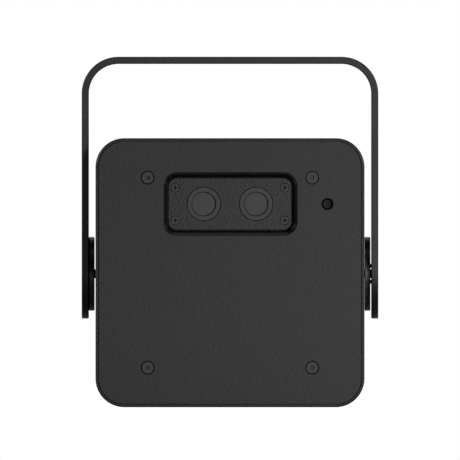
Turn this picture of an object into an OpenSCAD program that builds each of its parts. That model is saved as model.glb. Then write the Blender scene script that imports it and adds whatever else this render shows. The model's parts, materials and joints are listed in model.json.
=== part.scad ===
// Twin-lens scanner head in a square housing, hung in a tilting yoke.
// The front faces -Y and the head stands on its flat underside at z = 0.
// Lengths are in millimetres. Inside the modules, y is the depth behind the front rim.

/* [Housing] */
// Width of the housing
body_w = 150; // [140:1:170]
// Height of the housing
body_h = 150; // [142:1:170]
// Depth of the shell from rim to rim
shell_depth = 80; // [74:1:110]
// Outer corner radius of the shell seen from the front
corner_r = 16; // [10:0.5:24]
// Thickness of the shell's walls
wall = 3; // [2.6:0.1:4]
// Thickness of the thin rim round the front panel and the rear cover
rim_t = 1.4; // [1:0.1:1.6]
// Chamfer along the outer edges of both rims
rim_chamfer = 0.8; // [0.3:0.1:1]
// Gap between a rim and the panel that it frames
panel_gap = 0.35; // [0.2:0.05:0.6]
// Chamfer along the edges of the panel and the cover
panel_chamfer = 0.15; // [0.1:0.05:0.8]
// Thickness of the front panel
panel_t = 4; // [3.5:0.1:6]
// Thickness of the rear cover's plate
cover_t = 4; // [3.5:0.1:6]
// Thickness of the seals behind the panel and the cover
gasket_t = 1; // [0.5:0.1:2]

/* [Sensor window] */
// Width of the window recess at the panel's face
window_w = 75.5; // [72:0.5:80]
// Height of the window recess at the panel's face
window_h = 35.6; // [34:0.2:40]
// Corner radius of the window recess at the panel's face
window_r = 8; // [5:0.5:12]
// Radius of the bulge of the recess walls, seen in section
window_bulge = 5.5; // [5:0.1:30]
// How far the recess walls come in on their way to the plate
window_slope = 3.1; // [1.5:0.1:3.5]
// Height of the window's middle above the middle of the housing
window_rise = 38.3; // [34:0.1:40]
// Thickness of the sensor plate
plate_t = 2; // [1.6:0.1:3]
// Gap round the sensor plate
plate_gap = 0.3; // [0.2:0.05:0.8]
// Thickness of the sheet seal under the sensor plate
sheet_t = 0.5; // [0.3:0.1:1]
// Thickness of the panel's floor behind the sensor plate
floor_t = 3; // [2:0.1:4]
// Distance between the two lens axes
lens_spacing = 29.2; // [26:0.1:33]
// Outer diameter of the lens rings
ring_d = 18.6; // [18:0.1:21]
// Clear opening of the lens rings
lens_d = 12.9; // [11:0.1:14]
// How far the lens rings stand proud of the sensor plate
ring_proud = 0.4; // [0.1:0.05:0.8]
// Thickness of the lip that holds the window glass
lip_t = 1; // [0.4:0.1:1.2]
// Thickness of the window glass
glass_t = 1.5; // [1:0.1:2]
// Thickness of the round seal behind the window glass
seal_t = 0.8; // [0.5:0.1:1.2]
// Thickness of the block that holds the two lens barrels
optics_t = 14.5; // [13:0.5:20]

/* [Indicator] */
// Diameter of the indicator hole
indicator_d = 6.7; // [5:0.1:8]
// Distance from the window recess to the middle of the indicator hole
indicator_gap = 16.6; // [14.5:0.1:20.5]
// Depth of the indicator lens below the panel's face
indicator_depth = 2.6; // [0.5:0.1:2.6]
// Bevel round the front of the indicator lens
indicator_bevel = 0.9; // [0.2:0.1:1.2]
// Radius of the shallow dish in the front of the indicator lens
indicator_dish = 35; // [20:1:90]

/* [Fasteners] */
// Width of the panel screws' pattern
panel_screw_dx = 91.8; // [90:0.2:94]
// Height of the panel screws' pattern
panel_screw_dz = 106; // [104:0.2:114]
// Thread diameter of the panel and cover screws
screw_d = 3; // [2.5:0.5:4]
// Head diameter of the panel and cover screws
screw_head_d = 6.5; // [6:0.1:8]
// Length of the panel and cover screws
screw_len = 12; // [10:1:12]
// Socket width across flats of the panel and cover screws
screw_key = 1.6; // [1.4:0.1:3]
// Width of the sensor plate screws' pattern
plate_screw_dx = 61; // [59:0.2:62]
// Height of the sensor plate screws' pattern
plate_screw_dz = 18.2; // [17:0.2:19]
// Thread diameter of the sensor plate screws
plate_screw_d = 2.5; // [2:0.1:2.8]
// Head diameter of the sensor plate screws
plate_screw_head_d = 4.5; // [4:0.1:4.8]
// Length of the sensor plate screws
plate_screw_len = 11; // [9:0.5:12]
// Width across flats of the tie pillars
pillar_key = 8; // [7:0.5:9]

/* [Yoke] */
// Width of the yoke's flat bar
yoke_w = 50; // [44:1:60]
// Thickness of the yoke's flat bar
yoke_t = 4; // [3.6:0.1:6]
// Distance from the tilt axis to the top of the yoke
yoke_reach = 121; // [112:1:150]
// Inner radius of the yoke's two bends
yoke_bend_r = 16.5; // [10:0.5:24]
// Chamfer along the yoke's edges
yoke_chamfer = 0.5; // [0.2:0.1:1]
// How far the tilt axis lies below the middle of the housing
pivot_drop = 0.6; // [0:0.1:5]
// Diameter of the friction discs
disc_d = 41.2; // [30:0.1:46]
// Thickness of the friction discs
disc_t = 3.2; // [2.6:0.1:5]
// Play left beside each friction disc
disc_gap = 0.5; // [0.3:0.05:1]
// Thread diameter of the pivot bolts
pivot_d = 5; // [4:0.5:5.5]
// Head diameter of the pivot bolts
pivot_head_d = 10; // [9:0.5:10]
// Length of the pivot bolts under their flush heads
pivot_len = 20; // [18:0.5:24]
// Diameter of the pins that key a disc to the yoke
key_pin_d = 2.3; // [2:0.1:2.4]
// Distance between the two key pins of a disc
key_pin_spacing = 8.7; // [8.6:0.1:10]
// Diameter of the hanging hole in the middle of the yoke
hang_hole_d = 10.5; // [6:0.5:13]
// Diameter of the two fixing holes beside the hanging hole
fix_hole_d = 6.6; // [4:0.2:9]
// Distance between the two fixing holes
fix_hole_spacing = 70; // [50:1:90]

/* [Rear cover] */
// Height of the cooling fins behind the shell
fin_h = 12; // [8:0.5:16]
// Thickness of a cooling fin
fin_t = 2; // [1.5:0.1:3]
// Distance from one cooling fin to the next
fin_pitch = 7; // [6:0.5:10]
// Bare margin at each side of the fin field
fin_margin = 9; // [6:0.5:14]
// Bare stretch between the sockets and the foot of the fins
fin_gap = 11; // [6:0.5:30]
// Height of the two sockets' middles above the lower screws
port_rise = 2; // [0:0.2:5]
// Distance between the two sockets' middles
port_spacing = 30; // [26:0.5:36]

/* [Inside] */
// Thickness of the circuit boards
board_t = 1.6; // [1:0.1:2]
// Distance from the main board's front to the back of the shell
rear_room = 22; // [21.5:0.5:26]
// Width of the main board
main_w = 106; // [104:1:120]
// Height of the main board
main_h = 122; // [120:1:132]
// Width and height of the processor
chip_w = 24; // [18:1:28]
// Thickness of the processor
chip_t = 3; // [1.5:0.1:4]
// Thickness of the heat pad on the processor
pad_t = 1; // [0.5:0.1:2]

/* [Hidden] */
$fn = 96;

// Colours of the finishes
coat = [0.11, 0.11, 0.115];
anodised = [0.14, 0.14, 0.145];
black_oxide = [0.16, 0.16, 0.165];
dark_glass = [0.10, 0.10, 0.12];
clear_glass = [0.62, 0.70, 0.74];
seal_rubber = [0.05, 0.05, 0.05];
board_green = [0.05, 0.22, 0.11];
chip_black = [0.07, 0.07, 0.07];
bright_steel = [0.72, 0.72, 0.73];
brass = [0.80, 0.64, 0.30];
pad_grey = [0.55, 0.58, 0.62];
film_amber = [0.62, 0.40, 0.14];

// Clearances: a sliding or threaded fit, a running fit, a loose fit, and the overshoot of a cut
fit = 0.05;
running = 0.06;
loose = 0.2;
cut = 1;

// Places that follow from the sizes
y_front = -(shell_depth + fin_h) / 2;
mid_z = body_h / 2;
window_z = mid_z + window_rise;
pivot_y = shell_depth / 2;
pivot_z = mid_z - pivot_drop;
panel_w = body_w - 2 * (rim_t + panel_gap);
panel_h = body_h - 2 * (rim_t + panel_gap);
panel_r = corner_r - rim_t - panel_gap;
front_rebate = panel_t + gasket_t;
rear_rebate = cover_t + gasket_t;
cover_front = shell_depth - cover_t;
main_depth = shell_depth - rear_room;
main_back = main_depth + board_t;

// Sensor window, from front to back
seat_w = window_w - 2 * window_slope;
seat_h = window_h - 2 * window_slope;
seat_r = window_r - window_slope;
wall_chord = norm([window_slope, panel_t]);
bulge_offset = sqrt(pow(window_bulge, 2) - pow(wall_chord / 2, 2)) / wall_chord;
bulge_reach = bulge_offset * panel_t - window_slope / 2;
bulge_depth = bulge_offset * window_slope + panel_t / 2;
plate_back = panel_t + plate_t;
seat_depth = plate_back + sheet_t;
boss_back = seat_depth + floor_t;
optics_back = boss_back + optics_t;
sensor_board_back = optics_back + board_t;
boss_wall = 3.6;
plate_chamfer = 0.2;

// Lens stack, from front to back
ring_front = panel_t - ring_proud;
glass_front = ring_front + lip_t;
glass_back = glass_front + glass_t;
barrel_front = glass_back + seal_t;
ring_thread = 2.5;
ring_back = barrel_front + ring_thread;
shoulder_front = ring_back + loose;
seat_lip = 3;
seat_lip_w = 1;
barrel_back = optics_back - seat_lip;
glass_overlap = 0.95;
glass_d = lens_d + 2 * glass_overlap;
spigot_step = 1.6;
spigot_d = lens_d + 2 * spigot_step;
barrel_bore_step = 0.3;
barrel_bore_d = lens_d + 2 * barrel_bore_step;
rib_step = 1.6;
rib_d = lens_d - 2 * rib_step;
rear_bore_step = 0.6;
rear_bore_d = lens_d - 2 * rear_bore_step;
front_bore_len = 5;
rib_front = barrel_front + front_bore_len;
rib_t = 2;
rib_back = rib_front + rib_t;
ring_chamfer = 0.2;
lip_chamfer = 0.45;
ring_gap = 0.25;
front_lens_edge = 1.4;
front_lens_rise = 1.8;
rear_lens_edge = 1.2;
rear_lens_rise = 1.4;
beam_lens_edge = 1.4;
beam_lens_rise = 2.2;
diffuser_t = 1.2;
optics_margin = 4.5;
optics_w = plate_screw_dx + 2 * optics_margin;
optics_h = plate_screw_dz + 2 * optics_margin;
optics_r = 3;

// Head and hole shapes of the countersunk screws
head_land = 1.5;
head_gap = 0.6;
plate_head_land = 0.7;
plate_head_gap = 0.35;
seat_play = 0.1;
hex_depth = 1;
hex_chamfer = 0.4;
cross_span = 2.8;
cross_slot = 0.6;
cross_depth = 1;
cross_taper = 26;
blind_play = 0.5;

// Fixings of the sensor board
board_screw_d = 2;
board_screw_head_d = 3.8;
board_screw_head_t = 1.4;
board_screw_len = 5;
board_cross_span = 2.2;
board_cross_slot = 0.5;
board_cross_depth = 0.5;
board_screw_gap = 7;
board_screw_x = lens_spacing / 2 + ring_d / 2 + board_screw_gap;
board_screw_inset = 3;
board_screw_z = optics_h / 2 - board_screw_inset;
sensor_w = 10;
sensor_t = 1.4;
emitter_w = 5;
emitter_t = 1.2;

// Indicator
indicator_x = window_w / 2 + indicator_gap;
dish_land = 0.1;
dish_r = indicator_d / 2 - fit - indicator_bevel - dish_land;
dish_offset = sqrt(pow(indicator_dish, 2) - pow(dish_r, 2));
pipe_flange_reach = 1.25;
pipe_flange_d = indicator_d + 2 * pipe_flange_reach;
pipe_flange_t = 1.2;
pipe_stem_step = 1;
pipe_stem_d = indicator_d - 2 * pipe_stem_step;
led_w = 3.2;
led_t = 1;
tongue_h = 14;

// Sockets in the rear cover
port_z = mid_z - panel_screw_dz / 2 + port_rise;
port_back = shell_depth;
network_w = 16;
network_h = 14;
plug_w = 11.8;
plug_h = 8;
plug_depth = 12;
latch_w = 6.4;
latch_h = 2.4;
contact_count = 8;
contact_pitch = 1.02;
contact_w = 0.5;
contact_t = 0.5;
contact_len = 8;
power_w = 11;
barrel_plug_d = 6.4;
barrel_plug_depth = 9.5;
power_pin_d = 2;
power_pin_inset = 0.8;
port_gap = 0.3;

// Pillars, main board and what stands on it
stud_len = 6;
main_corner_r = 2;
chip_rise = 8;
chip_z = mid_z + chip_rise;
chip_back = main_back + chip_t;
pad_back = chip_back + pad_t;
pedestal_margin = 3;
pedestal_w = chip_w + 2 * pedestal_margin;
memory_w = 9;
memory_h = 12;
memory_t = 1.2;
memory_gap = 3.5;
memory_pitch = 16;
row_z = (port_z + network_h / 2 + chip_z - pedestal_w / 2) / 2;
brick_w = 36;
brick_h = 22;
brick_t = 9;
brick_x = -30;
can_d = 10;
can_t = 11;
can_x = 22;
can_pitch = 12;
can_count = 3;

// Ribbon between the boards
ribbon_w = 20;
ribbon_t = 0.4;
ribbon_bend = 5;
ribbon_socket_w = 24;
ribbon_socket_h = 5;
ribbon_socket_t = 2.5;
ribbon_top_z = window_z;
ribbon_low_z = chip_z;
ribbon_drop_y = (sensor_board_back + main_depth) / 2;
ribbon_steps = 6;

// Heat sink
fin_field = panel_w - 2 * fin_margin;
fin_count = floor(fin_field / fin_pitch) + 1;
fin_base = port_z + network_h / 2 + fin_gap;
fin_top = body_h - fin_margin;
fin_slope = 0.5;
tool_room = 3;
screw_clearing_d = screw_head_d + 2 * tool_room;

// Yoke and its pivots
yoke_half = body_w / 2 + disc_t + disc_gap;
yoke_top = pivot_z + yoke_reach;
bend_x = yoke_half - yoke_bend_r;
bend_z = yoke_top - yoke_t - yoke_bend_r;
disc_chamfer = 0.4;
pivot_hole_d = pivot_d + 2 * running;
pivot_cone = (pivot_head_d - pivot_d) / 2;
pivot_land = 0.4;
pivot_key = 3;
pivot_key_depth = 2;
bush_wall = 2;
bush_spigot_d = pivot_d + 2 * bush_wall;
bush_flange_reach = 4.5;
bush_flange_d = bush_spigot_d + 2 * bush_flange_reach;
bush_flange_t = 3;
bush_len = 10;
key_pin_grip = 1.5;
key_pin_floor = 0.9;
key_pin_from = yoke_half - disc_t + key_pin_floor;
key_pin_to = yoke_half + key_pin_grip;

// Everything is drawn in depth behind the front rim, then moved so that the box is centred
module placed() translate([0, y_front, 0]) children();

// Moves a piece to the middle of the housing, to the window or to one lens axis
module at_middle() translate([0, 0, mid_z]) children();
module at_window() translate([0, 0, window_z]) children();
module at_lens(side) translate([side * lens_spacing / 2, 0, window_z]) children();

// Repeats a piece at the corners of a rectangle
module at_corners(w, h) for (x = [-w / 2, w / 2], z = [-h / 2, h / 2]) translate([x, 0, z]) children();

// Round solid about a front-to-back axis, from a profile of radius against depth
module turned(profile) rotate([-90, 0, 0]) rotate_extrude() polygon(profile);

// Round solid about a left-to-right axis, from a profile of radius against x
module turned_x(profile) rotate([0, 90, 0]) rotate_extrude() polygon(profile);

// Straight round bar from one depth to another
module rod(d, y0, y1) translate([0, y0, 0]) rotate([-90, 0, 0]) cylinder(d = d, h = y1 - y0);

// Rectangular block from one depth to another, centred in x and z
module bar(w, h, y0, y1) translate([-w / 2, y0, -h / 2]) cube([w, y1 - y0, h]);

// One side of a block's outline as half width against depth; front and back slopes are [inset, depth]
function edge(half, y0, y1, front, back) = concat(
    [[half - front[0], y0]],
    front[1] > 0 ? [[half, y0 + front[1]]] : [],
    back[1] > 0 ? [[half, y1 - back[1]]] : [],
    [[half - back[0], y1]]
);

// The same outline on both sides
function both_edges(half, y0, y1, front, back) = let (right = edge(half, y0, y1, front, back)) concat(
    right,
    [for (i = [len(right) - 1 : -1 : 0]) [-right[i][0], right[i][1]]]
);

// Block with round corners seen from the front, with sloped edges at its front and back
module block(w, h, r, y0, y1, front = [0, 0], back = [0, 0]) {
    linear_extrude(h - 2 * r, center = true) polygon(both_edges(w / 2, y0, y1, front, back));
    rotate([0, 90, 0]) linear_extrude(w - 2 * r, center = true)
        polygon(both_edges(h / 2, y0, y1, front, back));
    at_corners(w - 2 * r, h - 2 * r)
        turned(concat([[0, y0]], edge(r, y0, y1, front, back), [[0, y1]]));
}

// Half section of the window recess as half width against depth, with a wall that bulges inwards
module recess_section(half) difference() {
    translate([0, -cut]) square([half + bulge_reach, cut + panel_t + fit]);
    translate([half + bulge_reach, bulge_depth]) circle(r = window_bulge);
}
module window_recess() {
    inner_w = window_w - 2 * window_r;
    inner_h = window_h - 2 * window_r;
    for (side = [0, 1]) {
        mirror([side, 0, 0]) linear_extrude(inner_h, center = true) recess_section(window_w / 2);
        mirror([0, 0, side]) rotate([0, -90, 0]) linear_extrude(inner_w, center = true)
            recess_section(window_h / 2);
    }
    at_corners(inner_w, inner_h) rotate([-90, 0, 0]) rotate_extrude() recess_section(window_r);
}

// Countersunk screw with its head at depth 0, and the hole that takes it
function screw_profile(head_d, land, d, length) = [
    [0, 0], [head_d / 2, 0], [head_d / 2, land], [d / 2, land + (head_d - d) / 2],
    [d / 2, length], [0, length]
];
module screw_hole(head_d, land, gap, d, depth) {
    mouth_r = head_d / 2 + gap;
    hole_r = d / 2 + loose;
    hole_land = land - gap + seat_play;
    turned([
        [0, -cut], [mouth_r, -cut], [mouth_r, hole_land], [hole_r, hole_land + mouth_r - hole_r],
        [hole_r, depth + cut], [0, depth + cut]
    ]);
}

// Hexagonal socket with a chamfered mouth, and cross recess with tapered wings over a point, from depth 0
module hex_socket(key, depth) {
    mouth_r = key / 2 + hex_chamfer;
    rotate([-90, 0, 0]) translate([0, 0, -cut]) cylinder(d = key / cos(30), h = depth + cut, $fn = 6);
    turned([[0, -cut], [mouth_r, -cut], [mouth_r, 0], [key / 4, mouth_r - key / 4], [0, mouth_r - key / 4]]);
}
module cross_recess(span, slot, depth) {
    tip_r = span / 2 - depth * tan(cross_taper);
    intersection() {
        union() {
            bar(span + 2 * cut, slot, -cut, depth + tip_r);
            bar(slot, span + 2 * cut, -cut, depth + tip_r);
        }
        turned([[0, -cut], [span / 2, -cut], [span / 2, 0], [tip_r, depth], [0, depth + tip_r]]);
    }
}

// Screw that holds the front panel or the rear cover
module panel_screw() difference() {
    turned(screw_profile(screw_head_d, head_land, screw_d, screw_len));
    hex_socket(screw_key, hex_depth);
}

// Turns a front feature round to the rear of the shell
module from_rear() translate([0, shell_depth, 0]) mirror([0, 1, 0]) children();

// Square tube with a thin rim at both ends and a ledge behind each rim
module housing_shell() color(coat) placed() difference() {
    at_middle() block(body_w, body_h, corner_r, 0, shell_depth,
        [rim_chamfer, rim_chamfer], [rim_chamfer, rim_chamfer]);
    at_middle() block(body_w - 2 * wall, body_h - 2 * wall, corner_r - wall, -cut, shell_depth + cut);
    at_middle() block(body_w - 2 * rim_t, body_h - 2 * rim_t, corner_r - rim_t, -cut, front_rebate);
    at_middle() block(body_w - 2 * rim_t, body_h - 2 * rim_t, corner_r - rim_t,
        shell_depth - rear_rebate, shell_depth + cut);
    translate([0, pivot_y, pivot_z]) rotate([0, 90, 0])
        cylinder(d = bush_spigot_d + 2 * fit, h = body_w + 2 * cut, center = true);
}

// Inset panel with the window recess and a boss behind it
module front_panel() color(coat) placed() difference() {
    union() {
        at_middle() block(panel_w, panel_h, panel_r, 0, panel_t, [panel_chamfer, panel_chamfer]);
        at_window() block(seat_w + 2 * boss_wall, seat_h + 2 * boss_wall, seat_r + boss_wall,
            panel_t / 2, boss_back);
    }
    at_window() window_recess();
    at_window() block(seat_w, seat_h, seat_r, panel_t / 2, seat_depth);
    for (side = [-1, 1]) at_lens(side) rod(ring_d + 2 * ring_gap, seat_depth - cut, boss_back + cut);
    at_window() at_corners(plate_screw_dx, plate_screw_dz)
        rod(plate_screw_d + 2 * loose, seat_depth - cut, boss_back + cut);
    at_middle() at_corners(panel_screw_dx, panel_screw_dz)
        screw_hole(screw_head_d, head_land, head_gap, screw_d, panel_t);
    translate([indicator_x, 0, window_z]) rod(indicator_d, -cut, panel_t + cut);
}

// Square ring seal that lies on a ledge of the shell
module frame_seal(y) at_middle() difference() {
    block(panel_w, panel_h, panel_r, y, y + gasket_t);
    block(body_w - 2 * wall + 2 * loose, body_h - 2 * wall + 2 * loose, corner_r - wall + loose,
        y - cut, y + gasket_t + cut);
}
module front_gasket() color(seal_rubber) placed() frame_seal(panel_t);
module rear_gasket() color(seal_rubber) placed() frame_seal(cover_front - gasket_t);

module front_panel_screws() color(black_oxide) placed() at_middle()
    at_corners(panel_screw_dx, panel_screw_dz) panel_screw();

// Plate at the bottom of the recess, with two lens holes
module sensor_plate() color(anodised) placed() difference() {
    at_window() block(seat_w - 2 * plate_gap, seat_h - 2 * plate_gap, seat_r - plate_gap,
        panel_t, plate_back, [plate_chamfer, plate_chamfer]);
    for (side = [-1, 1]) at_lens(side) rod(ring_d + 2 * ring_gap, panel_t - cut, plate_back + cut);
    at_window() translate([0, panel_t, 0]) at_corners(plate_screw_dx, plate_screw_dz)
        screw_hole(plate_screw_head_d, plate_head_land, plate_head_gap, plate_screw_d, plate_t);
}

module sensor_plate_seal() color(seal_rubber) placed() difference() {
    at_window() block(seat_w - 2 * plate_gap, seat_h - 2 * plate_gap, seat_r - plate_gap,
        plate_back, seat_depth);
    for (side = [-1, 1]) at_lens(side) rod(ring_d + 2 * ring_gap, plate_back - cut, seat_depth + cut);
    at_window() at_corners(plate_screw_dx, plate_screw_dz)
        rod(plate_screw_d + 3 * loose, plate_back - cut, seat_depth + cut);
}

module sensor_plate_screws() color(black_oxide) placed() at_window() translate([0, panel_t, 0])
    at_corners(plate_screw_dx, plate_screw_dz) difference() {
        turned(screw_profile(plate_screw_head_d, plate_head_land, plate_screw_d, plate_screw_len));
        cross_recess(cross_span, cross_slot, cross_depth);
    }

// Screwed ring that clamps a window glass and its seal against a barrel
module lens_ring(side) color(anodised) placed() at_lens(side) turned([
    [lens_d / 2 + lip_chamfer, ring_front], [ring_d / 2 - ring_chamfer, ring_front],
    [ring_d / 2, ring_front + ring_chamfer], [ring_d / 2, ring_back],
    [spigot_d / 2 + fit, ring_back], [spigot_d / 2 + fit, barrel_front],
    [glass_d / 2 + fit, barrel_front], [glass_d / 2 + fit, glass_front],
    [lens_d / 2, glass_front], [lens_d / 2, ring_front + lip_chamfer]
]);
module lens_ring_left() lens_ring(-1);
module lens_ring_right() lens_ring(1);

module window_glass(side) color(dark_glass) placed() at_lens(side) rod(glass_d, glass_front, glass_back);
module window_glass_left() window_glass(-1);
module window_glass_right() window_glass(1);

module window_seal(side) color(seal_rubber) placed() at_lens(side) difference() {
    rod(glass_d, glass_back, barrel_front);
    rod(barrel_bore_d, glass_back - cut, barrel_front + cut);
}
module window_seal_left() window_seal(-1);
module window_seal_right() window_seal(1);

// Stepped tube with a rib that seats one lens on each side
module barrel(side) color(anodised) placed() at_lens(side) turned([
    [barrel_bore_d / 2, barrel_front], [spigot_d / 2, barrel_front], [spigot_d / 2, shoulder_front],
    [ring_d / 2, shoulder_front], [ring_d / 2, barrel_back], [rear_bore_d / 2, barrel_back],
    [rear_bore_d / 2, rib_back], [rib_d / 2, rib_back], [rib_d / 2, rib_front], [barrel_bore_d / 2, rib_front]
]);
module camera_barrel() barrel(-1);
module projector_barrel() barrel(1);

// Plano-convex lens: flat at depth 0, bulging towards -y by its full thickness
module bulged_lens(d, edge_t, rise) {
    bulge_r = (pow(d / 2, 2) + pow(rise, 2)) / (2 * rise);
    intersection() {
        rod(d, -edge_t - rise - cut, 0);
        translate([0, bulge_r - edge_t - rise, 0]) sphere(r = bulge_r);
    }
}
module behind_rib() translate([0, rib_back, 0]) mirror([0, 1, 0]) children();
module camera_front_lens() color(clear_glass) placed() at_lens(-1) translate([0, rib_front, 0])
    bulged_lens(barrel_bore_d - 2 * fit, front_lens_edge, front_lens_rise);
module camera_rear_lens() color(clear_glass) placed() at_lens(-1) behind_rib()
    bulged_lens(rear_bore_d - 2 * fit, rear_lens_edge, rear_lens_rise);
module projector_diffuser() color(clear_glass) placed() at_lens(1)
    rod(barrel_bore_d - 2 * fit, rib_front - diffuser_t, rib_front);
module projector_lens() color(clear_glass) placed() at_lens(1) behind_rib()
    bulged_lens(rear_bore_d - 2 * fit, beam_lens_edge, beam_lens_rise);

// Metal block behind the panel's boss that carries both barrels and the sensor board
module optics_block() color(anodised) placed() difference() {
    at_window() block(optics_w, optics_h, optics_r, boss_back, optics_back);
    for (side = [-1, 1]) at_lens(side) {
        rod(ring_d + 2 * fit, boss_back - cut, barrel_back);
        rod(ring_d - 2 * seat_lip_w, boss_back - cut, optics_back + cut);
    }
    at_window() at_corners(plate_screw_dx, plate_screw_dz)
        rod(plate_screw_d + 2 * fit, boss_back - cut, panel_t + plate_screw_len + blind_play);
    at_board_screws() rod(board_screw_d + 2 * fit,
        sensor_board_back - board_screw_len - blind_play, optics_back + cut);
}

module at_board_screws() at_window() {
    for (x = [-board_screw_x, board_screw_x]) translate([x, 0, 0]) children();
    for (z = [-board_screw_z, board_screw_z]) translate([0, 0, z]) children();
}

// Board behind the optics, with a tongue that reaches the indicator
module sensor_board() color(board_green) placed() difference() {
    union() {
        at_window() block(optics_w, optics_h, optics_r, optics_back, sensor_board_back);
        translate([0, optics_back, window_z - tongue_h / 2])
            cube([indicator_x + pipe_flange_d / 2, board_t, tongue_h]);
    }
    at_board_screws() rod(board_screw_d + 2 * loose, optics_back - cut, sensor_board_back + cut);
}
module sensor_board_screws() color(bright_steel) placed() at_board_screws() difference() {
    union() {
        rod(board_screw_d, sensor_board_back - board_screw_len, sensor_board_back + fit);
        rod(board_screw_head_d, sensor_board_back, sensor_board_back + board_screw_head_t);
    }
    translate([0, sensor_board_back + board_screw_head_t, 0]) mirror([0, 1, 0])
        cross_recess(board_cross_span, board_cross_slot, board_cross_depth);
}
module image_sensor() color(chip_black) placed() at_lens(-1)
    bar(sensor_w, sensor_w, optics_back - sensor_t, optics_back);
module projector_emitter() color(pad_grey) placed() at_lens(1)
    bar(emitter_w, emitter_w, optics_back - emitter_t, optics_back);

// Light pipe: dished lens, a flange behind the panel and a stem that ends over the light source
module indicator_lens() color(dark_glass) placed() translate([indicator_x, 0, window_z]) difference() {
    turned([
        [0, indicator_depth], [indicator_d / 2 - fit - indicator_bevel, indicator_depth],
        [indicator_d / 2 - fit, indicator_depth + indicator_bevel], [indicator_d / 2 - fit, panel_t],
        [pipe_flange_d / 2, panel_t], [pipe_flange_d / 2, panel_t + pipe_flange_t],
        [pipe_stem_d / 2, panel_t + pipe_flange_t], [pipe_stem_d / 2, optics_back - led_t - loose],
        [0, optics_back - led_t - loose]
    ]);
    translate([0, indicator_depth - dish_offset, 0]) sphere(r = indicator_dish);
}
module indicator_led() color(clear_glass) placed() translate([indicator_x, 0, window_z])
    bar(led_w, led_w, optics_back - led_t, optics_back);

// Hexagonal pillar between two depths, with its corners up and down
module pillar(y0, y1) translate([0, y0, 0]) rotate([-90, 30, 0])
    cylinder(d = pillar_key / cos(30), h = y1 - y0, $fn = 6);

module front_pillars() color(brass) placed() at_middle() at_corners(panel_screw_dx, panel_screw_dz) {
    difference() {
        pillar(panel_t, main_depth);
        rod(screw_d + 2 * fit, panel_t - cut, screw_len + blind_play);
    }
    rod(screw_d - 2 * fit, main_depth - fit, main_back + stud_len);
}
module rear_pillars() color(brass) placed() at_middle() at_corners(panel_screw_dx, panel_screw_dz)
    difference() {
        pillar(main_back, cover_front);
        rod(screw_d + 2 * fit, main_back - cut, main_back + stud_len + blind_play);
        rod(screw_d + 2 * fit, shell_depth - screw_len - blind_play, cover_front + cut);
    }

// Main board, clamped between the two sets of pillars
module main_board() color(board_green) placed() at_middle() difference() {
    block(main_w, main_h, main_corner_r, main_depth, main_back);
    at_corners(panel_screw_dx, panel_screw_dz) rod(screw_d + 2 * loose, main_depth - cut, main_back + cut);
}
module at_chip() translate([0, 0, chip_z]) children();
module processor() color(chip_black) placed() at_chip() bar(chip_w, chip_w, main_back, chip_back);
module heat_pad() color(pad_grey) placed() at_chip() bar(chip_w, chip_w, chip_back, pad_back);
module memory_chips() color(chip_black) placed() at_chip()
    at_corners(pedestal_w + 2 * memory_gap + memory_w, memory_pitch)
        bar(memory_w, memory_h, main_back, main_back + memory_t);
module power_module() color(chip_black) placed() translate([brick_x, 0, row_z])
    bar(brick_w, brick_h, main_back, main_back + brick_t);
module capacitors() color(pad_grey) placed() for (i = [0 : can_count - 1])
    translate([can_x + i * can_pitch, 0, row_z]) rod(can_d, main_back, main_back + can_t);

// Flat ribbon from the sensor board down to the main board, and its two sockets
module ribbon_socket(y, z) translate([0, 0, z])
    bar(ribbon_socket_w, ribbon_socket_h, y, y + ribbon_socket_t);
module ribbon_sockets() color(chip_black) placed() {
    ribbon_socket(sensor_board_back, ribbon_top_z);
    ribbon_socket(main_depth - ribbon_socket_t, ribbon_low_z);
}
function arc(y, z, r, from, to) = [
    for (i = [0 : ribbon_steps])
        let (a = from + (to - from) * i / ribbon_steps) [y + r * cos(a), z + r * sin(a)]
];
function ribbon_side(offset) = concat(
    [[sensor_board_back + ribbon_socket_t, ribbon_top_z + offset]],
    arc(ribbon_drop_y - ribbon_bend, ribbon_top_z - ribbon_bend, ribbon_bend + offset, 90, 0),
    arc(ribbon_drop_y + ribbon_bend, ribbon_low_z + ribbon_bend, ribbon_bend - offset, 180, 270),
    [[main_depth - ribbon_socket_t, ribbon_low_z + offset]]
);
module sensor_ribbon() color(film_amber) placed() {
    upper = ribbon_side(ribbon_t / 2);
    lower = ribbon_side(-ribbon_t / 2);
    rotate([90, 0, 90]) linear_extrude(ribbon_w, center = true)
        polygon(concat(upper, [for (i = [len(lower) - 1 : -1 : 0]) lower[i]]));
}

// Sockets that stand on the main board and show through the rear cover
module at_port(side) translate([side * port_spacing / 2, 0, port_z]) children();
module network_socket() color(bright_steel) placed() at_port(1) difference() {
    bar(network_w, network_h, main_back, port_back);
    bar(plug_w, plug_h, port_back - plug_depth, port_back + cut);
    translate([0, 0, -plug_h / 2 - latch_h / 2 + fit])
        bar(latch_w, latch_h, port_back - plug_depth / 2, port_back + cut);
}
module network_contacts() color(brass) placed() at_port(1) for (i = [0 : contact_count - 1])
    translate([(i - (contact_count - 1) / 2) * contact_pitch, 0, plug_h / 2 - contact_t / 2])
        bar(contact_w, contact_t, port_back - plug_depth, port_back - plug_depth + contact_len);
module power_socket() color(chip_black) placed() at_port(-1) difference() {
    bar(power_w, power_w, main_back, port_back);
    rod(barrel_plug_d, port_back - barrel_plug_depth, port_back + cut);
}
module power_pin() color(brass) placed() at_port(-1)
    rod(power_pin_d, port_back - barrel_plug_depth, port_back - power_pin_inset);

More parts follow.
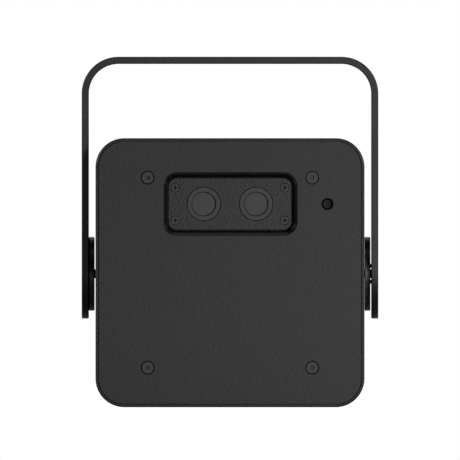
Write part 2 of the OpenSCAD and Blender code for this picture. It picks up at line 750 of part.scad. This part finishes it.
// Finned cover with a pedestal that reaches the processor
module fin() rotate([90, 0, 90]) linear_extrude(fin_t, center = true) polygon([
    [cover_front + cover_t / 2, fin_base], [shell_depth, fin_base],
    [shell_depth + fin_h, fin_base + fin_slope * fin_h], [shell_depth + fin_h, fin_top - fin_slope * fin_h],
    [shell_depth, fin_top], [cover_front + cover_t / 2, fin_top]
]);
module rear_cover() color(coat) placed() difference() {
    union() {
        at_middle() block(panel_w, panel_h, panel_r, cover_front, shell_depth, [0, 0],
            [panel_chamfer, panel_chamfer]);
        at_chip() bar(pedestal_w, pedestal_w, pad_back, cover_front + cover_t / 2);
        for (i = [0 : fin_count - 1]) translate([(i - (fin_count - 1) / 2) * fin_pitch, 0, 0]) fin();
    }
    at_middle() at_corners(panel_screw_dx, panel_screw_dz) from_rear()
        screw_hole(screw_head_d, head_land, head_gap, screw_d, cover_t);
    at_middle() at_corners(panel_screw_dx, panel_screw_dz)
        rod(screw_clearing_d, shell_depth, shell_depth + fin_h + cut);
    at_port(1) bar(network_w + 2 * port_gap, network_h + 2 * port_gap, cover_front - cut, shell_depth + cut);
    at_port(-1) bar(power_w + 2 * port_gap, power_w + 2 * port_gap, cover_front - cut, shell_depth + cut);
}
module rear_cover_screws() color(black_oxide) placed() at_middle()
    at_corners(panel_screw_dx, panel_screw_dz) from_rear() panel_screw();

// Pieces of one pivot are drawn for the right side and mirrored for the left
module on_side(side) mirror([side < 0 ? 1 : 0, 0, 0]) translate([0, pivot_y, pivot_z]) children();

// Flanged, threaded bush in the shell's side wall
module pivot_bush(side) color(bright_steel) placed() on_side(side) difference() {
    outside = body_w / 2;
    inside = outside - wall;
    turned_x([
        [0, inside - bush_len], [bush_spigot_d / 2, inside - bush_len],
        [bush_spigot_d / 2, inside - bush_flange_t], [bush_flange_d / 2, inside - bush_flange_t],
        [bush_flange_d / 2, inside], [bush_spigot_d / 2, inside], [bush_spigot_d / 2, outside], [0, outside]
    ]);
    rotate([0, 90, 0]) cylinder(d = pivot_d + 2 * fit, h = body_w);
}
module pivot_bush_left() pivot_bush(-1);
module pivot_bush_right() pivot_bush(1);

// Flush bolt through the yoke and the disc into the bush
module pivot_bolt(side) color(black_oxide) placed() on_side(side) difference() {
    head = yoke_half + yoke_t - seat_play;
    turned_x([
        [0, head - pivot_len], [pivot_d / 2, head - pivot_len],
        [pivot_d / 2, head - pivot_land - pivot_cone], [pivot_head_d / 2, head - pivot_land],
        [pivot_head_d / 2, head], [0, head]
    ]);
    translate([head - pivot_key_depth, 0, 0]) rotate([0, 90, 0])
        cylinder(d = pivot_key / cos(30), h = pivot_key_depth + cut, $fn = 6);
}
module pivot_bolt_left() pivot_bolt(-1);
module pivot_bolt_right() pivot_bolt(1);

// Flat bar bent to a U with round lobes at the pivots
function bar_section(from) = [
    [from + yoke_chamfer, -yoke_w / 2], [from + yoke_t - yoke_chamfer, -yoke_w / 2],
    [from + yoke_t, -yoke_w / 2 + yoke_chamfer], [from + yoke_t, yoke_w / 2 - yoke_chamfer],
    [from + yoke_t - yoke_chamfer, yoke_w / 2], [from + yoke_chamfer, yoke_w / 2],
    [from, yoke_w / 2 - yoke_chamfer], [from, -yoke_w / 2 + yoke_chamfer]
];
module yoke_side() {
    translate([0, pivot_y, pivot_z]) linear_extrude(bend_z - pivot_z) polygon(bar_section(yoke_half));
    translate([bend_x, pivot_y, bend_z]) rotate([90, 0, 0]) rotate_extrude(angle = 90)
        polygon(bar_section(yoke_bend_r));
    translate([0, pivot_y, pivot_z]) turned_x([
        [0, yoke_half], [yoke_w / 2 - yoke_chamfer, yoke_half], [yoke_w / 2, yoke_half + yoke_chamfer],
        [yoke_w / 2, yoke_half + yoke_t - yoke_chamfer], [yoke_w / 2 - yoke_chamfer, yoke_half + yoke_t],
        [0, yoke_half + yoke_t]
    ]);
}
module yoke_pivot_cuts() {
    face = yoke_half + yoke_t;
    cone_back = face - pivot_land - seat_play;
    cone_r = pivot_head_d / 2 + running;
    hole_r = pivot_hole_d / 2;
    turned_x([
        [0, 0], [hole_r, 0], [hole_r, cone_back - cone_r + hole_r], [cone_r, cone_back],
        [cone_r, face + cut], [0, face + cut]
    ]);
    at_key_pins() cylinder(d = key_pin_d + 2 * fit, h = key_pin_to - key_pin_from);
}

// Places the two key pins of one side, from the floor of their holes in the disc outwards
module at_key_pins() for (z = [-1, 1])
    translate([key_pin_from, 0, z * key_pin_spacing / 2]) rotate([0, 90, 0]) children();

module yoke() color(coat) placed() difference() {
    union() {
        for (side = [0, 1]) mirror([side, 0, 0]) yoke_side();
        translate([0, pivot_y, yoke_top - yoke_t]) rotate([0, -90, 0])
            linear_extrude(2 * bend_x, center = true) polygon(bar_section(0));
    }
    for (side = [-1, 1]) on_side(side) yoke_pivot_cuts();
    translate([0, pivot_y, yoke_top - yoke_t - cut]) {
        cylinder(d = hang_hole_d, h = yoke_t + 2 * cut);
        for (x = [-fix_hole_spacing / 2, fix_hole_spacing / 2]) translate([x, 0, 0])
            cylinder(d = fix_hole_d, h = yoke_t + 2 * cut);
    }
}

// Keyed disc beside a yoke leg: the left one lies on the leg, the right one on the housing
module friction_disc(side, from) color(anodised) placed() on_side(side) difference() {
    to = from + disc_t;
    turned_x([
        [0, from], [disc_d / 2 - disc_chamfer, from], [disc_d / 2, from + disc_chamfer],
        [disc_d / 2, to - disc_chamfer], [disc_d / 2 - disc_chamfer, to], [0, to]
    ]);
    rotate([0, 90, 0]) cylinder(d = pivot_hole_d, h = body_w);
    at_key_pins() cylinder(d = key_pin_d + 2 * fit, h = disc_t);
}
module friction_disc_left() friction_disc(-1, yoke_half - disc_t);
module friction_disc_right() friction_disc(1, body_w / 2 + fit);

module disc_key_pins() color(bright_steel) placed() for (side = [-1, 1]) on_side(side) at_key_pins()
    translate([0, 0, fit]) cylinder(d = key_pin_d, h = key_pin_to - key_pin_from - 2 * fit);

housing_shell();
front_panel();
front_gasket();
front_panel_screws();
sensor_plate();
sensor_plate_seal();
sensor_plate_screws();
lens_ring_left();
lens_ring_right();
window_glass_left();
window_glass_right();
window_seal_left();
window_seal_right();
camera_barrel();
projector_barrel();
camera_front_lens();
camera_rear_lens();
projector_diffuser();
projector_lens();
optics_block();
sensor_board();
sensor_board_screws();
image_sensor();
projector_emitter();
indicator_lens();
indicator_led();
front_pillars();
main_board();
rear_pillars();
processor();
heat_pad();
memory_chips();
power_module();
capacitors();
ribbon_sockets();
sensor_ribbon();
network_socket();
network_contacts();
power_socket();
power_pin();
rear_cover();
rear_gasket();
rear_cover_screws();
pivot_bush_left();
pivot_bush_right();
pivot_bolt_left();
pivot_bolt_right();
yoke();
friction_disc_left();
friction_disc_right();
disc_key_pins();
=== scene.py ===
"""Looks of the scanner head: a finish for every piece, a plain studio and the photograph's camera.

The front of the object faces -Y, +Z is up, and lengths are in metres.
"""
import json
import math

import bpy
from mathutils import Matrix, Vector


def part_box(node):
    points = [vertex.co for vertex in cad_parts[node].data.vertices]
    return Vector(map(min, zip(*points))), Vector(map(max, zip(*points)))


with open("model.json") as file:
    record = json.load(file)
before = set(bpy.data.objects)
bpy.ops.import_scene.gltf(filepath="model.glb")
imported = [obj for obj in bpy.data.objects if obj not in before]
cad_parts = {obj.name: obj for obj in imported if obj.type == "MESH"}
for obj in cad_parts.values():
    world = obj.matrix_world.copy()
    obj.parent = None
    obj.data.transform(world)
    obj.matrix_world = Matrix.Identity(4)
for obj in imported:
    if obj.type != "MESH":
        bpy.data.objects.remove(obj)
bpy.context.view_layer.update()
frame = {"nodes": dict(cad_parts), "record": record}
MM = 0.001
WHITE = (1.0, 1.0, 1.0, 1.0)

# Camera: a straight-on parallel view, with the photograph's scale and framing
PHOTO_PIXELS = 460
MM_PER_PIXEL = 0.5576
BASE_PIXEL_ROW = 407.2
CAMERA_DISTANCE = 1.5
CAMERA_REACH = 20

# Floor: it fades to white between two distances from the origin, with a share of that white nearer in
FLOOR_SIZE = 1.1
FLOOR_DROP = 0.2 * MM
FLOOR_FADE = (0.15, 0.5)
NEAR_WHITE = 0.4

# World: the strength of its soft fill, and the dark flag that reflections see, which opens to white
# behind the object, on a scale from 0 straight in front to 1 straight behind
FILL_STRENGTH = 0.08
FLAG_GREY = (0.03, 0.03, 0.03, 1.0)
FLAG_OPENING = (0.72, 0.93)

# Finishes: the span that holds most of a noise's values, and the depths at which a recess's painted shade
# and smoother finish start and are complete
MOST_OF_NOISE = (0.3, 0.7)
RECESS_SHADE_AND_GLOSS_DEPTHS = (0.1 * MM, 0.9 * MM)


def linear(srgb):
    """Linear value of an sRGB level from 0 to 255, by the standard's curve."""
    level = srgb / 255
    return level / 12.92 if level <= 0.04045 else ((level + 0.055) / 1.055) ** 2.4


def grey(srgb, tint=(1.0, 1.0, 1.0)):
    """Linear RGBA of a grey sRGB level, with a factor for each colour as its tint."""
    return tuple(linear(srgb) * factor for factor in tint) + (1.0,)


class NodeTree:
    """The nodes of a material or a world, with helpers for those that both use."""

    def __init__(self, owner):
        owner.use_nodes = True
        self.nodes = owner.node_tree.nodes
        self.links = owner.node_tree.links

    def feed(self, socket, value):
        """Links a socket to another node's output, or sets it to a constant."""
        if isinstance(value, bpy.types.NodeSocket):
            self.links.new(value, socket)
        else:
            socket.default_value = value

    def node(self, kind, inputs=None, **settings):
        """A new node with its settings, and a constant or another node's output for each given input."""
        made = self.nodes.new(kind)
        for name, value in settings.items():
            setattr(made, name, value)
        for name, value in (inputs or {}).items():
            self.feed(made.inputs[name], value)
        return made

    def combine(self, operation, first, second):
        """One number from two, such as their product."""
        return self.node("ShaderNodeMath", {0: first, 1: second}, operation=operation).outputs["Value"]

    def along_y(self, vector):
        """How far a vector reaches along Y, from front to back."""
        return self.node("ShaderNodeSeparateXYZ", {"Vector": vector}).outputs["Y"]

    def rescale(self, value, span, results=(0.0, 1.0), curve="LINEAR"):
        """Takes a value that passes a span from the first of two results to the second."""
        inputs = {
            "Value": value,
            "From Min": span[0], "From Max": span[1],
            "To Min": results[0], "To Max": results[1],
        }
        return self.node("ShaderNodeMapRange", inputs, interpolation_type=curve).outputs["Result"]

    def ramp(self, factor, span, colours):
        """Takes a factor that passes a span from the first of two colours to the second."""
        made = self.node("ShaderNodeValToRGB", {"Fac": factor})
        for element, position, colour in zip(made.color_ramp.elements, span, colours):
            element.position = position
            element.color = colour
        return made.outputs["Color"]

    def mix_shaders(self, factor, first, second):
        """The first shader where a factor is 0, and the second where it is 1."""
        return self.node("ShaderNodeMixShader", {0: factor, 1: first, 2: second}).outputs["Shader"]


class Shader(NodeTree):
    """A material's nodes, with helpers for its colour, roughness and relief."""

    def __init__(self, name):
        self.material = bpy.data.materials.new(name)
        super().__init__(self.material)
        self.surface = self.nodes["Principled BSDF"]
        self.place = self.node("ShaderNodeTexCoord").outputs["Object"]

    def set(self, **sockets):
        """Feeds the surface's sockets; an underscore stands for a space in a socket's name."""
        for name, value in sockets.items():
            self.feed(self.surface.inputs[name.replace("_", " ")], value)

    def source(self, name):
        """The output that one of the surface's sockets is linked to so far."""
        return self.surface.inputs[name].links[0].from_socket

    def noise(self, size, detail=2.0, squeeze=None):
        """Noise whose features measure about size metres, or are squeezed by a factor along each axis."""
        place = self.place
        if squeeze:
            place = self.node("ShaderNodeMapping", {"Vector": place, "Scale": squeeze}).outputs["Vector"]
        inputs = {"Vector": place, "Scale": 1 / size, "Detail": detail}
        return self.node("ShaderNodeTexNoise", inputs).outputs["Fac"]

    def mottle(self, patch, dark, light, detail=2.0):
        """Colour that wanders between two in patches of a given size."""
        self.set(Base_Color=self.ramp(self.noise(patch, detail), MOST_OF_NOISE, (dark, light)))

    def cloud(self, patch, low, high, squeeze=None):
        """Roughness that wanders between two values in patches of a given size."""
        self.set(Roughness=self.rescale(self.noise(patch, squeeze=squeeze), (0, 1), (low, high)))

    def relief(self, height, depth):
        """Bump of a given depth in metres, on top of any earlier one."""
        inputs = {"Height": height, "Distance": depth}
        if self.surface.inputs["Normal"].is_linked:
            inputs["Normal"] = self.source("Normal")
        self.set(Normal=self.node("ShaderNodeBump", inputs).outputs["Normal"])

    def grain(self, size, depth, detail=2.0, squeeze=None):
        """Bump of noise, with features of a given size and depth."""
        self.relief(self.noise(size, detail, squeeze), depth)

    def turn(self, name, data_type, factor, into):
        """Turns what feeds one of the surface's sockets into a constant, as far as a factor says."""
        inputs = {"Factor": factor, "A": self.source(name), "B": into}
        mixed = self.node("ShaderNodeMix", inputs, data_type=data_type).outputs["Result"]
        self.feed(self.surface.inputs[name], mixed)


def coat(name, specular=0.4, grain=1.2 * MM, depth=0.04 * MM):
    """Black coat with a grain of a given size and depth over a faint orange peel."""
    look = Shader(name)
    look.mottle(patch=0.6 * MM, dark=grey(8), light=grey(14), detail=3.0)
    look.cloud(patch=9 * MM, low=0.4, high=0.45)
    look.grain(size=2.6 * MM, depth=0.02 * MM)
    look.grain(size=grain, depth=depth, detail=3.0)
    look.set(Specular_IOR_Level=specular)
    return look


def powder_coat():
    """Black powder coat of the housing and the yoke."""
    return coat("powder_coat").material


def panel_coat():
    """The housing's coat, smoother in the panel's recess and holes than on its face, and painted near black
    there as shade.
    """
    look = coat("panel_coat")
    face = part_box("front_panel")[0][1]
    recess_shade_and_gloss = look.rescale(look.along_y(look.place), [face + depth for depth in RECESS_SHADE_AND_GLOSS_DEPTHS])
    # Painted shade: the base colour turns near black deeper in the recess and holes, where shade falls; the
    # lower roughness there is the finish's own
    look.turn("Base Color", "RGBA", recess_shade_and_gloss, into=grey(2))
    look.turn("Roughness", "FLOAT", recess_shade_and_gloss, into=0.3)
    return look.material


def plate_coat():
    """Coarser coat of the sensor plate."""
    return coat("plate_coat", specular=0.39, grain=0.9 * MM, depth=0.11 * MM).material


def black_anodised():
    """Satin black anodised metal with a fine grain."""
    look = Shader("black_anodised")
    look.mottle(patch=0.4 * MM, dark=grey(16), light=grey(22))
    look.cloud(patch=4 * MM, low=0.38, high=0.44)
    look.grain(size=0.3 * MM, depth=0.006 * MM)
    look.set(Specular_IOR_Level=0.54)
    return look.material


def blackened(name, specular):
    """Blackened steel, cloudy from handling."""
    look = Shader(name)
    look.mottle(patch=0.8 * MM, dark=grey(20), light=grey(28))
    look.cloud(patch=1.5 * MM, low=0.32, high=0.44)
    look.grain(size=0.25 * MM, depth=0.008 * MM)
    look.set(Specular_IOR_Level=specular)
    return look.material


def black_steel():
    """Blackened steel of the screws and bolts."""
    return blackened("black_steel", specular=0.52)


def disc_steel():
    """Blackened steel of the friction discs, a little shinier."""
    return blackened("disc_steel", specular=0.68)


def bright_steel():
    """Bare machined steel with fine turning marks."""
    look = Shader("bright_steel")
    look.mottle(patch=1.2 * MM, dark=grey(186), light=grey(206))
    look.cloud(patch=0.6 * MM, low=0.24, high=0.36, squeeze=(6, 1, 1))
    look.grain(size=0.2 * MM, depth=0.004 * MM, squeeze=(8, 1, 1))
    look.set(Metallic=1.0)
    return look.material


def filter_glass():
    """Smoked window that lets only infrared through, so it looks near black."""
    look = Shader("filter_glass")
    look.mottle(patch=5 * MM, dark=grey(18), light=grey(22))
    look.cloud(patch=3 * MM, low=0.4, high=0.43)
    look.grain(size=1.8 * MM, depth=0.002 * MM)
    look.set(Specular_IOR_Level=0.56)
    return look.material


def lens_glass():
    """Coated optical glass."""
    look = Shader("lens_glass")
    look.mottle(patch=6 * MM, dark=grey(228, tint=(0.9, 0.97, 1.0)), light=grey(240))
    look.cloud(patch=2 * MM, low=0.02, high=0.05)
    look.set(Transmission_Weight=1.0, IOR=1.52)
    return look.material


def indicator_plastic():
    """Dark plastic of the light pipe."""
    look = Shader("indicator_plastic")
    look.mottle(patch=2 * MM, dark=grey(6), light=grey(10))
    look.cloud(patch=1 * MM, low=0.4, high=0.45)
    look.grain(size=0.7 * MM, depth=0.003 * MM)
    look.set(Specular_IOR_Level=0.15)
    return look.material


def seal_rubber():
    """Matt black rubber."""
    look = Shader("seal_rubber")
    look.mottle(patch=0.8 * MM, dark=grey(18), light=grey(28))
    look.cloud(patch=1.5 * MM, low=0.75, high=0.9)
    look.grain(size=0.3 * MM, depth=0.02 * MM)
    return look.material


def circuit_board():
    """Green solder mask over a pattern of copper tracks."""
    look = Shader("circuit_board")
    upright = {"Vector": look.place, "Rotation": (math.radians(90), 0, 0)}
    tracks = look.node("ShaderNodeTexBrick", {
        "Vector": look.node("ShaderNodeMapping", upright).outputs["Vector"],
        "Scale": 1 / (6 * MM),
        "Mortar Size": 0.03,
        "Color1": grey(70, tint=(0.10, 0.62, 0.30)),
        "Color2": grey(74, tint=(0.10, 0.66, 0.32)),
        "Mortar": grey(100, tint=(0.20, 0.80, 0.36)),
    })
    look.set(Base_Color=tracks.outputs["Color"])
    look.cloud(patch=3 * MM, low=0.28, high=0.4)
    look.relief(tracks.outputs["Fac"], depth=0.03 * MM)
    return look.material


def chip_plastic():
    """Moulded black epoxy with a fine spark-eroded grain."""
    look = Shader("chip_plastic")
    look.mottle(patch=0.4 * MM, dark=grey(34), light=grey(46))
    look.cloud(patch=0.8 * MM, low=0.5, high=0.65)
    look.grain(size=0.25 * MM, depth=0.012 * MM)
    return look.material


def ceramic():
    """Pale ceramic package."""
    look = Shader("ceramic")
    look.mottle(patch=0.5 * MM, dark=grey(196), light=grey(212, tint=(1.0, 0.99, 0.95)))
    look.cloud(patch=1 * MM, low=0.4, high=0.55)
    look.grain(size=0.2 * MM, depth=0.004 * MM)
    return look.material


def brass():
    """Turned brass, a little tarnished."""
    look = Shader("brass")
    look.mottle(patch=3 * MM, dark=(0.58, 0.40, 0.14, 1), light=(0.72, 0.53, 0.22, 1))
    look.cloud(patch=1 * MM, low=0.24, high=0.38)
    look.grain(size=0.2 * MM, depth=0.004 * MM, squeeze=(1, 8, 1))
    look.set(Metallic=1.0)
    return look.material


def heat_pad():
    """Soft grey heat-conducting pad."""
    look = Shader("heat_pad")
    look.mottle(patch=1.2 * MM, dark=grey(140), light=grey(156, tint=(0.97, 1.0, 1.04)))
    look.cloud(patch=2 * MM, low=0.7, high=0.85)
    look.grain(size=0.6 * MM, depth=0.03 * MM)
    return look.material


def capacitor_can():
    """Drawn aluminium can."""
    look = Shader("capacitor_can")
    look.mottle(patch=1.5 * MM, dark=grey(196), light=grey(212))
    look.cloud(patch=0.8 * MM, low=0.25, high=0.36)
    look.grain(size=0.3 * MM, depth=0.004 * MM, squeeze=(1, 0.2, 1))
    look.set(Metallic=1.0)
    return look.material


def ribbon_film():
    """Amber polyimide film with the conductors showing through."""
    look = Shader("ribbon_film")
    inputs = {"Vector": look.place, "Scale": 1 / (4 * MM)}
    lines = look.node("ShaderNodeTexWave", inputs, bands_direction="X").outputs["Fac"]
    ambers = ((0.30, 0.12, 0.02, 1), (0.45, 0.22, 0.05, 1))
    look.set(Base_Color=look.ramp(lines, span=(0.35, 0.65), colours=ambers))
    look.cloud(patch=2 * MM, low=0.25, high=0.35)
    look.relief(lines, depth=0.02 * MM)
    return look.material


# Every finish, known by its function's name
FINISHES = [
    powder_coat, panel_coat, plate_coat, black_anodised, black_steel, disc_steel, bright_steel,
    filter_glass, lens_glass, indicator_plastic, seal_rubber, circuit_board, chip_plastic, ceramic,
    brass, heat_pad, capacitor_can, ribbon_film,
]

# Nodes with a finish other than their material slot's
OWN_FINISH = {
    "front_panel": "panel_coat", "sensor_plate": "plate_coat",
    "friction_disc_left": "disc_steel", "friction_disc_right": "disc_steel",
}


def dress_nodes():
    """Gives every CAD node the finish of its material slot, or its own."""
    made = {finish.__name__: finish() for finish in FINISHES}
    for part in frame["record"]["subparts"]:
        finish = OWN_FINISH.get(part["node"], part["material_slot"])
        for slot in frame["nodes"][part["node"]].material_slots:
            slot.material = made[finish]


def add_object(name, data):
    """A new object in the scene."""
    made = bpy.data.objects.new(name, data)
    bpy.context.scene.collection.objects.link(made)
    return made


def make_camera():
    """Parallel camera that looks along +Y at the photograph's scale."""
    data = bpy.data.cameras.new("camera")
    data.type = "ORTHO"
    data.ortho_scale = PHOTO_PIXELS * MM_PER_PIXEL * MM
    data.clip_end = CAMERA_REACH
    camera = add_object("camera", data)
    height = (BASE_PIXEL_ROW - PHOTO_PIXELS / 2) * MM_PER_PIXEL * MM
    camera.location = (0, -CAMERA_DISTANCE, height)
    camera.rotation_euler = (math.radians(90), 0, 0)
    bpy.context.scene.camera = camera


def fade_to_white(look):
    """Turns a floor white away from the object, where it is seen directly, mirrored or through glass."""
    distance = look.node("ShaderNodeVectorMath", {0: look.place}, operation="LENGTH").outputs["Value"]
    ray = look.node("ShaderNodeLightPath").outputs

    def whiteness(rays, least):
        """The share of white in what some rays see, with the least of it near the object."""
        share = look.rescale(distance, FLOOR_FADE, (least, 1.0), curve="SMOOTHSTEP")
        return look.combine("MULTIPLY", rays, share)

    direct = whiteness(ray["Is Camera Ray"], NEAR_WHITE)
    mirrored = whiteness(look.combine("MAXIMUM", ray["Is Glossy Ray"], ray["Is Transmission Ray"]), 0)
    white = look.node("ShaderNodeEmission", {"Color": WHITE}).outputs["Emission"]
    faded = look.mix_shaders(look.combine("MAXIMUM", direct, mirrored), look.surface.outputs["BSDF"], white)
    look.feed(look.nodes["Material Output"].inputs["Surface"], faded)


def make_floor():
    """Pale square floor just below the underside."""
    half = FLOOR_SIZE / 2
    corners = [(x, y, -FLOOR_DROP) for x, y in ((-half, -half), (half, -half), (half, half), (-half, half))]
    mesh = bpy.data.meshes.new("floor")
    mesh.from_pydata(corners, [], [(0, 1, 2, 3)])
    look = Shader("floor")
    look.mottle(patch=400 * MM, dark=grey(158), light=grey(162))
    look.set(Roughness=0.9, Specular_IOR_Level=0.1)
    fade_to_white(look)
    mesh.materials.append(look.material)
    floor = add_object("floor", mesh)


def make_world():
    """Backdrop that is white seen directly, flagged in reflections and a soft fill for the rest."""
    world = bpy.data.worlds.new("studio")
    bpy.context.scene.world = world
    tree = NodeTree(world)
    tree.nodes.clear()

    def background(colour, strength):
        """Light of a colour from everywhere; a strength of 1 shows white as white."""
        inputs = {"Color": colour, "Strength": strength}
        return tree.node("ShaderNodeBackground", inputs).outputs["Background"]

    ray = tree.node("ShaderNodeLightPath").outputs
    direction = tree.node("ShaderNodeTexCoord").outputs["Generated"]
    behind = tree.rescale(tree.along_y(direction), (-1, 1))
    flag = background(tree.ramp(behind, FLAG_OPENING, (FLAG_GREY, WHITE)), 1.0)
    lighting = tree.mix_shaders(ray["Is Glossy Ray"], background(WHITE, FILL_STRENGTH), flag)
    seen = tree.combine("MAXIMUM", ray["Is Camera Ray"], ray["Is Transmission Ray"])
    backdrop = tree.mix_shaders(seen, lighting, background(WHITE, 1.0))
    tree.node("ShaderNodeOutputWorld", {"Surface": backdrop})


def make_lamp(name, place, target, size, radiance):
    """Soft box of a width and height, aimed at a target; its radiance of 1 is white seen directly."""
    data = bpy.data.lights.new(name, "AREA")
    data.shape = "RECTANGLE"
    data.size, data.size_y = size
    data.energy = radiance * math.pi * data.size * data.size_y
    lamp = add_object(name, data)
    lamp.location = place
    lamp.rotation_mode = "QUATERNION"
    lamp.rotation_quaternion = (Vector(target) - Vector(place)).to_track_quat("-Z", "Y")


def make_lamps():
    """The photograph's low key and weak fill from the front right, and soft boxes for other sides."""
    housing_bottom, housing_top = (corner[2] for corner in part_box("housing_shell"))
    middle = (housing_bottom + housing_top) / 2
    aim = (0, 0, middle)
    make_lamp("key", place=(1.25, -2.165, middle), target=aim, size=(0.57, 0.14), radiance=227)
    make_lamp("fill", place=(0.25, -2.05, middle), target=aim, size=(0.3, 0.14), radiance=8.8)
    make_lamp("top", place=(0, -0.3, 1.6), target=(0, 0, 0.09), size=(1.0, 1.0), radiance=0.75)
    for side, x in (("left", -1.9), ("right", 1.9)):
        make_lamp(f"side {side}", place=(x, 0.5, 1.0), target=aim, size=(1.6, 1.2), radiance=2.5)
    for side, x in (("left", -1.4), ("right", 1.4)):
        make_lamp(f"back {side}", place=(x, 1.4, 0.32), target=aim, size=(1.6, 0.6), radiance=6.5)


dress_nodes()
make_camera()
make_floor()
make_world()
make_lamps()

bpy.context.scene.view_settings.view_transform = "Standard"
